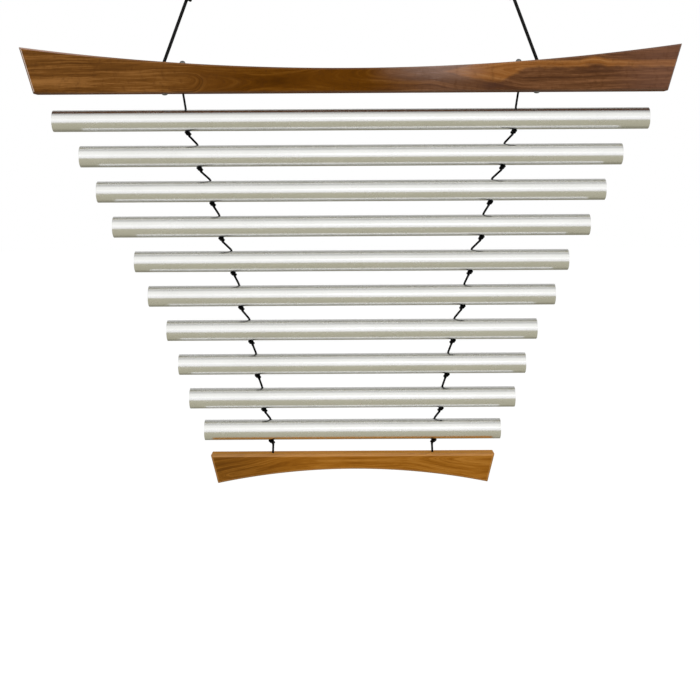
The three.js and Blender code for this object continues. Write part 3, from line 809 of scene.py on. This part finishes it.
# Strings. The knots are the solids' overhand knots drawn tight, with shares of the strand spacing.
KNOT_TIGHT = 1.9 * MM
KNOT_SHAPE = {"rise": 1.15, "half_width": 1.46, "half_depth": 1.14, "start": 275, "core": 0.483,
              "core_end": 0.846, "down": 1.118, "aside": 1.036, "neck_pull": 0.442, "foot_pull": 0.276,
              "exit_pull": 0.314}
KNOT_STRAND = 1.14
KNOT_POINTS = 60
KNOT_THICKENS_IN = 2 * MM
KNOT_TILT = math.radians(11)
KNOT_LIFT = 0.3 * MM
KNOT_INWARD = 1.1 * MM
KNOT_PULL_REACH = 8 * MM
BEND_BELOW_BAR = 0.4 * MM
BEND_START = 0.2 * MM
BEND_END = 4.2 * MM


def entry_point(index):
    if index == TUBE_COUNT:
        return np.array([LOWER_STRING_X, 0, LOWER_TOP_Z + ENTRY_RISE])
    return np.array([hole_x(index) + STRING_LEAN, 0, tube_z(index) + TUBE_RADIUS + ENTRY_RISE])


def knot_inward(index):
    """How far a knot is pulled towards the next hole."""
    return KNOT_INWARD * min(1, (knot_x(index) - entry_point(index + 1)[0]) / KNOT_PULL_REACH)


def knot_exit(index):
    end = np.array([knot_x(index) - knot_inward(index) - KNOT_EXIT["aside"] * KNOT_SPACING, 0,
                    knot_z(index) - KNOT_HEIGHT / 2 - KNOT_EXIT["drop"] * KNOT_SPACING])
    return end, unit(entry_point(index + 1) - end)


def knot_pieces(index):
    """An overhand knot on the right side: down beside its axis, round once, and down inside its own wrap."""
    turn = math.radians(180 + (KNOT_TURN if index % 2 else -KNOT_TURN))
    size = {part: share * KNOT_TIGHT for part, share in KNOT_SHAPE.items()}
    rise = size["rise"] * KNOT_SWEEP / 360
    height = rise + 2 * STRING_RADIUS + KNOT_SLACK * KNOT_TIGHT
    centre = np.array([knot_x(index) - knot_inward(index), 0,
                       knot_z(index) + (KNOT_HEIGHT - height) / 2 + KNOT_LIFT])

    def place(x, y, z):
        along, back = x * math.cos(turn) - y * math.sin(turn), x * math.sin(turn) + y * math.cos(turn)
        return centre + np.array([along * math.cos(KNOT_TILT) - z * math.sin(KNOT_TILT), back,
                                  along * math.sin(KNOT_TILT) + z * math.cos(KNOT_TILT)])

    def wrap(share):
        angle = math.radians(KNOT_SHAPE["start"] + KNOT_SWEEP * share)
        return place(size["half_width"] * math.cos(angle), size["half_depth"] * math.sin(angle),
                     rise * (share - 0.5))

    winding = np.array([wrap(share) for share in np.linspace(0, 1, KNOT_POINTS)])
    neck = np.array([knot_x(index), 0, knot_z(index) + KNOT_HEIGHT / 2])
    into = unit(winding[1] - winding[0]) * size["aside"]
    out = unit(winding[-1] - winding[-2]) * size["aside"]
    core, core_end, down = size["core"], rise / 2 - size["core_end"], size["down"]
    foot, head = place(-core, 0, -core_end), place(core, 0, core_end)
    end, onward = knot_exit(index)
    return [
        bezier(neck + np.array([0, 0, KNOT_NECK]), neck, place(-core, 0, size["neck_pull"] - core_end), foot),
        bezier(foot, place(-core, 0, -core_end - down), winding[0] - into, winding[0]),
        winding,
        bezier(winding[-1], winding[-1] + out, place(core, 0, core_end + down), head),
        bezier(head, place(core, 0, core_end - size["foot_pull"]), end - onward * size["exit_pull"], end),
    ]


def stretch_pieces(start, entry, passage_end):
    """Straight to a hole, round its rim and straight down through it."""
    turn_from = entry - unit(entry - start) * ENTRY_TURN
    turn_to = entry + unit(passage_end - entry) * ENTRY_TURN
    t = np.linspace(0, 1, RIM_POINTS)[:, None]
    return [straight(start, turn_from), (1 - t) ** 2 * turn_from + 2 * (1 - t) * t * entry + t**2 * turn_to,
            straight(turn_to, passage_end)]


def hang_string(side, side_name):
    """Twelve lengths, each from the knot above to its own knot."""
    start = np.array([TOP_STRING_X, 0, STRING_SEAT_Z + CLEARANCE - BORE_END])
    bend_from = np.array([TOP_STRING_X, 0, TOP_BOTTOM_Z - BEND_BELOW_BAR])
    for number in range(1, TUBE_COUNT + 2):
        index = number - 1
        entry = entry_point(index)
        last = index == TUBE_COUNT
        pieces = []
        leaving = start
        if number == 1:
            leaving = bend_from
            pieces.append(straight(start, bend_from))
        if last:
            passage_end = np.array([LOWER_STRING_X, 0, LOWER_SEAT_Z - CLEARANCE + BORE_END])
        else:
            passage_end = np.array([knot_x(index), 0, knot_z(index) + KNOT_HEIGHT / 2 + KNOT_NECK])
        pieces += stretch_pieces(leaving, entry, passage_end)
        plain = sum(gaps(piece).sum() for piece in pieces)
        if not last:
            knotted = knot_pieces(index)
            knotted[0] = np.concatenate([[passage_end], knotted[0][1:]])
            pieces += knotted
        run, _, _ = braided(
            f"{side_name}_string_run_{number:02d}", [piece * (side, 1, 1) for piece in pieces],
            STRING_RADIUS * STRING_FULLNESS, FINISHES["black_string"], **STRING_BRAID, sides=20,
            step=0.3 * MM,
            swell=lambda at: 1 + (KNOT_STRAND - 1) * np.clip((at - plain) / KNOT_THICKENS_IN, 0, 1))
        way = unit(entry - leaving)
        bend_start = leaving + way * BEND_START
        bend_end = leaving + way * BEND_END
        nodes = [f"{side_name}_string_{number:02d}"]
        if number == 1:
            nodes.insert(0, f"{side_name}_string_00")
        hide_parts(*nodes)
        bend_start * (side, 1, 1)
        bend_end * (side, 1, 1)
        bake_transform(run)
        if not last:
            start = knot_exit(index)[0]


for side, side_name in SIDES:
    hang_cord(side, side_name)
for side, side_name in SIDES:
    hang_string(side, side_name)


# Bars with their bores. Each stop's row gives its name, its node, the radius of what it holds, its place
# along the bar, the levels of its seat, of its bore's far end and of the bar's surface, its dome's height
# and its body.
STOPS = (
    ("upper_cap", "string_top_stop", STRING_RADIUS, TOP_STRING_X, STRING_SEAT_Z, TOP_BOTTOM_Z,
     TOP_BOTTOM_Z + bar_height(TOP_BAR, TOP_STRING_X + 2 * STOP["dome"]), TOP_STOP_HEIGHT, "upper_bar"),
    ("cord_cap", "cord_stop", CORD_RADIUS, TOP_CORD_X, CORD_SEAT_Z, CORD_ENTRY_Z,
     TOP_BOTTOM_Z, CORD_STOP_HEIGHT, "upper_bar"),
    ("lower_cap", "string_bottom_stop", STRING_RADIUS, LOWER_STRING_X, LOWER_SEAT_Z, LOWER_TOP_Z,
     LOWER_TOP_Z - bar_height(LOWER_BAR, LOWER_STRING_X + 2 * STOP["dome"]), BOTTOM_STOP_HEIGHT,
     "hung_lower_bar"),
)
bores = {"upper_bar": [], "hung_lower_bar": []}
for side, _ in SIDES:
    for _, _, held_radius, x, seat, far, surface, _, body in STOPS:
        bores[body] += stop_cutters(held_radius, side * x, seat, far, surface)
for name, bar, up, level, slot, body, node in (
        ("upper_teak_bar", TOP_BAR, True, TOP_BOTTOM_Z, "teak_dark", "upper_bar", "top_bar"),
        ("lower_teak_bar", LOWER_BAR, False, LOWER_TOP_Z, "teak_light", "hung_lower_bar", "lower_bar")):
    wood = make_bar(name, bar, up, level, slot, bores[body])
    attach(wood, body)
    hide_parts(node)


# Tubes
TUBE_SIDES = 96
TUBE_CHAMFER = 0.25 * MM
HOLE_FLARE = 0.3 * MM
HOLE_BORDER = 4 * MM
DRILL_OVERSHOOT = 1 * MM
WALL_FACES = 0.97


def make_tube(index):
    half = tube_length(index) / 2
    inner = TUBE_RADIUS - TUBE_WALL
    x_hole = hole_x(index)
    outside = [-half + TUBE_CHAMFER, -x_hole - HOLE_BORDER, -x_hole + HOLE_BORDER, x_hole - HOLE_BORDER,
               x_hole + HOLE_BORDER, half - TUBE_CHAMFER]
    profile = [(TUBE_RADIUS, x) for x in outside]
    profile += [(TUBE_RADIUS - TUBE_CHAMFER, half), (inner + TUBE_CHAMFER, half)]
    profile += [(inner, x) for x in reversed(outside)]
    profile += [(inner + TUBE_CHAMFER, -half), (TUBE_RADIUS - TUBE_CHAMFER, -half)]
    vertices = []
    for radius, x in profile:
        for k in range(TUBE_SIDES):
            angle = 2 * math.pi * (k + 0.5) / TUBE_SIDES
            vertices.append((x, radius * math.cos(angle), radius * math.sin(angle)))
    tube = make_object(f"tube_{index + 1:02d}_metal", vertices, ring_faces(len(profile), TUBE_SIDES, True),
                       FINISHES["aluminium"])
    fix_direction(tube)
    shoulder = TUBE_RADIUS - HOLE_FLARE
    beyond = TUBE_RADIUS + DRILL_OVERSHOOT
    wide = TUBE_HOLE_RADIUS + HOLE_FLARE + DRILL_OVERSHOOT
    drill = [(0, -beyond), (wide, -beyond), (TUBE_HOLE_RADIUS, -shoulder), (TUBE_HOLE_RADIUS, shoulder),
             (wide, beyond), (0, beyond)]
    cut_away(tube, [turned("drill", drill, CUTTER_FINISH, CUTTER_SIDES, (side * x_hole, 0, 0))
                    for side, _ in SIDES])
    shade_tube(tube, x_hole)
    for vertex in tube.data.vertices:
        vertex.co.z += tube_z(index)
    return tube


def shade_tube(tube, x_hole):
    """Exact normals: round about the tube's axis on its walls, and about the drill's axis in the holes."""
    mesh = tube.data
    mesh.polygons.foreach_set("use_smooth", [True] * len(mesh.polygons))
    normals = [None] * len(mesh.loops)
    for polygon in mesh.polygons:
        centre, facing = polygon.center, polygon.normal
        radial = unit(np.array([0, centre.y, centre.z]))
        outward = facing.y * radial[1] + facing.z * radial[2]
        wall = outward**2 + facing.x**2 > WALL_FACES
        for loop in polygon.loop_indices:
            at = mesh.vertices[mesh.loops[loop].vertex_index].co
            if wall:
                reach = math.hypot(at.y, at.z)
                normal = np.array([facing.x, outward * at.y / reach, outward * at.z / reach])
            else:
                middle = math.copysign(x_hole, centre.x)
                reach = math.hypot(at.x - middle, at.y)
                level = math.sqrt(max(0.0, 1 - facing.z**2))
                normal = np.array([(middle - at.x) / reach * level, -at.y / reach * level, facing.z])
            normals[loop] = unit(normal)
    mesh.normals_split_custom_set(normals)


for index in range(TUBE_COUNT):
    tube = make_tube(index)
    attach(tube, f"hung_tube_{index + 1:02d}")
    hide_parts(f"tube_{index + 1:02d}")


# Domed stops
DOME_STEPS = 14
DOME_RIM = 0.12 * MM
STOP_SIDES = 48
STOP_SHARP_DEGREES = 35


def make_stop(name, node, held_radius, x, level, dome_height, flip, body):
    bore = held_radius + BORE_CLEARANCE
    bottom = -STOP["length"]
    profile = [(0, bottom + STOP["bore_depth"]), (bore, bottom + STOP["bore_depth"]), (bore, bottom),
               (STOP["barrel"], bottom), (STOP["barrel"], 0), (STOP["dome"] - DOME_RIM, 0),
               (STOP["dome"], DOME_RIM)]
    for k in range(DOME_STEPS + 1):
        angle = math.pi / 2 * k / DOME_STEPS
        rise = STOP["flange"] + (dome_height - STOP["flange"]) * math.sin(angle)
        profile.append((STOP["dome"] * math.cos(angle) if k < DOME_STEPS else 0, rise))
    stop = turned(name, profile, FINISHES["stop_metal"], STOP_SIDES, (x, 0, level), flip)
    sharpen(stop, STOP_SHARP_DEGREES)
    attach(stop, body)
    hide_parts(node)


for side, side_name in SIDES:
    for cap, node, held_radius, x, seat, far, _, dome_height, body in STOPS:
        faces_down = far > seat
        level = seat - CLEARANCE if faces_down else seat + CLEARANCE
        make_stop(f"{side_name}_{cap}", f"{side_name}_{node}", held_radius, side * x, level, dome_height,
                  faces_down, body)


# Studio: pale floor, white surround and soft lamps. The tubes mirror a warm grey cloth under and in front
# of the chime, a darker one behind it and a grey ceiling, none of which the camera sees.
FLOOR_Z = -1.5
SURROUND = 1.0
SURROUND_LIGHT = 0.72
FLOOR_COLOUR = (0.8, 0.8, 0.8)
FLOOR_LIFT = 0.43
CLOTH_COLOUR = (0.48, 0.46, 0.35)
DARKER_CLOTH = 0.68
CEILING = {"grey": 0.5, "grey_to": -0.3, "white_from": -1.6, "colour": (1, 1, 0.97)}
# Each lamp's name, place, target, width, height, watts, and whether mirroring surfaces show it
LAMPS = (
    ("key", (0.9, -2.4, 1.3), (0, 0, -0.3), 1.6, 1.2, 26, False),
    ("fill", (-1.6, -2.2, 0.4), (0, 0, -0.3), 1.4, 1.4, 10, False),
    ("glint", (0.22, -2.6, 0.5), (0.05, 0, -0.1), 0.42, 0.5, 0.5, True),
    ("wash", (0, -2.6, 0.4), (0, 0, -0.3), 4, 0.7, 1.3, True),
)


def seen_directly(paint):
    """1 for rays that show the background itself: straight, mirrored or through glass."""
    path = paint.node("ShaderNodeLightPath").outputs
    total = path["Is Camera Ray"]
    for name in ("Is Glossy Ray", "Is Transmission Ray"):
        total = paint.node("ShaderNodeMath", {0: total, 1: path[name]}, operation="ADD", use_clamp=True)
    return total


def make_world():
    paint = Paint("studio", bpy.data.worlds, "Background", Color=(1, 1, 1, 1))
    strength = paint.node("ShaderNodeMapRange", {
        "Value": seen_directly(paint), "To Min": SURROUND_LIGHT, "To Max": SURROUND})
    paint.feed(paint.shader.inputs["Strength"], strength)
    bpy.context.scene.world = paint.made


def floor_finish():
    paint = Paint("pale_floor")
    diffuse = paint.node("ShaderNodeBsdfDiffuse", {"Color": (*FLOOR_COLOUR, 1)})
    lift = paint.math("MULTIPLY", seen_directly(paint), FLOOR_LIFT)
    glow = paint.node("ShaderNodeEmission", {"Strength": lift})
    return paint.show(paint.node("ShaderNodeAddShader", {0: diffuse, 1: glow}))


def cloth_finish(name, level):
    """Matt warm grey above, and clear from below, so that it takes no light from the floor."""
    paint = Paint(name)
    diffuse = paint.node("ShaderNodeBsdfDiffuse", {"Color": (*(part * level for part in CLOTH_COLOUR), 1)})
    clear = paint.node("ShaderNodeBsdfTransparent")
    below = paint.node("ShaderNodeNewGeometry").outputs["Backfacing"]
    return paint.show(paint.node("ShaderNodeMixShader", {0: below, 1: diffuse, 2: clear}))


def ceiling_finish():
    """Grey overhead and to the back, and as white as the surround towards the front."""
    paint = Paint("grey_ceiling")
    _, y, _ = paint.parts("Object")
    light = paint.step(y, CEILING["grey_to"], CEILING["white_from"], CEILING["grey"], SURROUND)
    return paint.show(paint.node("ShaderNodeEmission", {"Color": (*CEILING["colour"], 1), "Strength": light}))


def flat_panel(name, width, centre, material, switched_off):
    """A level square sheet."""
    x, y, z = centre
    corners = [(x + across * width / 2, y + back * width / 2, z)
               for across, back in ((-1, -1), (1, -1), (1, 1), (-1, 1))]
    panel = make_object(name, corners, [(0, 1, 2, 3)], material)
    for setting in switched_off:
        setattr(panel, setting, False)


def soft_lamp(name, centre, target, width, height, watts, mirrored):
    data = bpy.data.lights.new(name, "AREA")
    data.shape = "RECTANGLE"
    data.size = width
    data.size_y = height
    data.energy = watts
    lamp = bpy.data.objects.new(name, data)
    lamp.location = centre
    lamp.rotation_euler = (Vector(target) - lamp.location).to_track_quat("-Z", "Y").to_euler()
    lamp.visible_glossy = mirrored
    bpy.context.scene.collection.objects.link(lamp)


# Each panel's name, width, centre, finish, and what is switched off in it
PANELS = (
    ("pale_floor", 40, (0, 0, FLOOR_Z), floor_finish(), ()),
    ("warm_grey_cloth", 8, (0, 0, FLOOR_Z + 0.05), cloth_finish("warm_grey_cloth", 1.0),
     ("visible_camera",)),
    ("darker_cloth", 12, (0, 6.3, FLOOR_Z + 0.06), cloth_finish("darker_cloth", DARKER_CLOTH),
     ("visible_camera",)),
    ("grey_ceiling", 14, (0, 0.5, 1.6), ceiling_finish(),
     ("visible_camera", "visible_diffuse", "visible_shadow", "visible_transmission")),
)
make_world()
for panel in PANELS:
    flat_panel(*panel)
for lamp in LAMPS:
    soft_lamp(*lamp)
bpy.context.scene.view_settings.view_transform = "Standard"
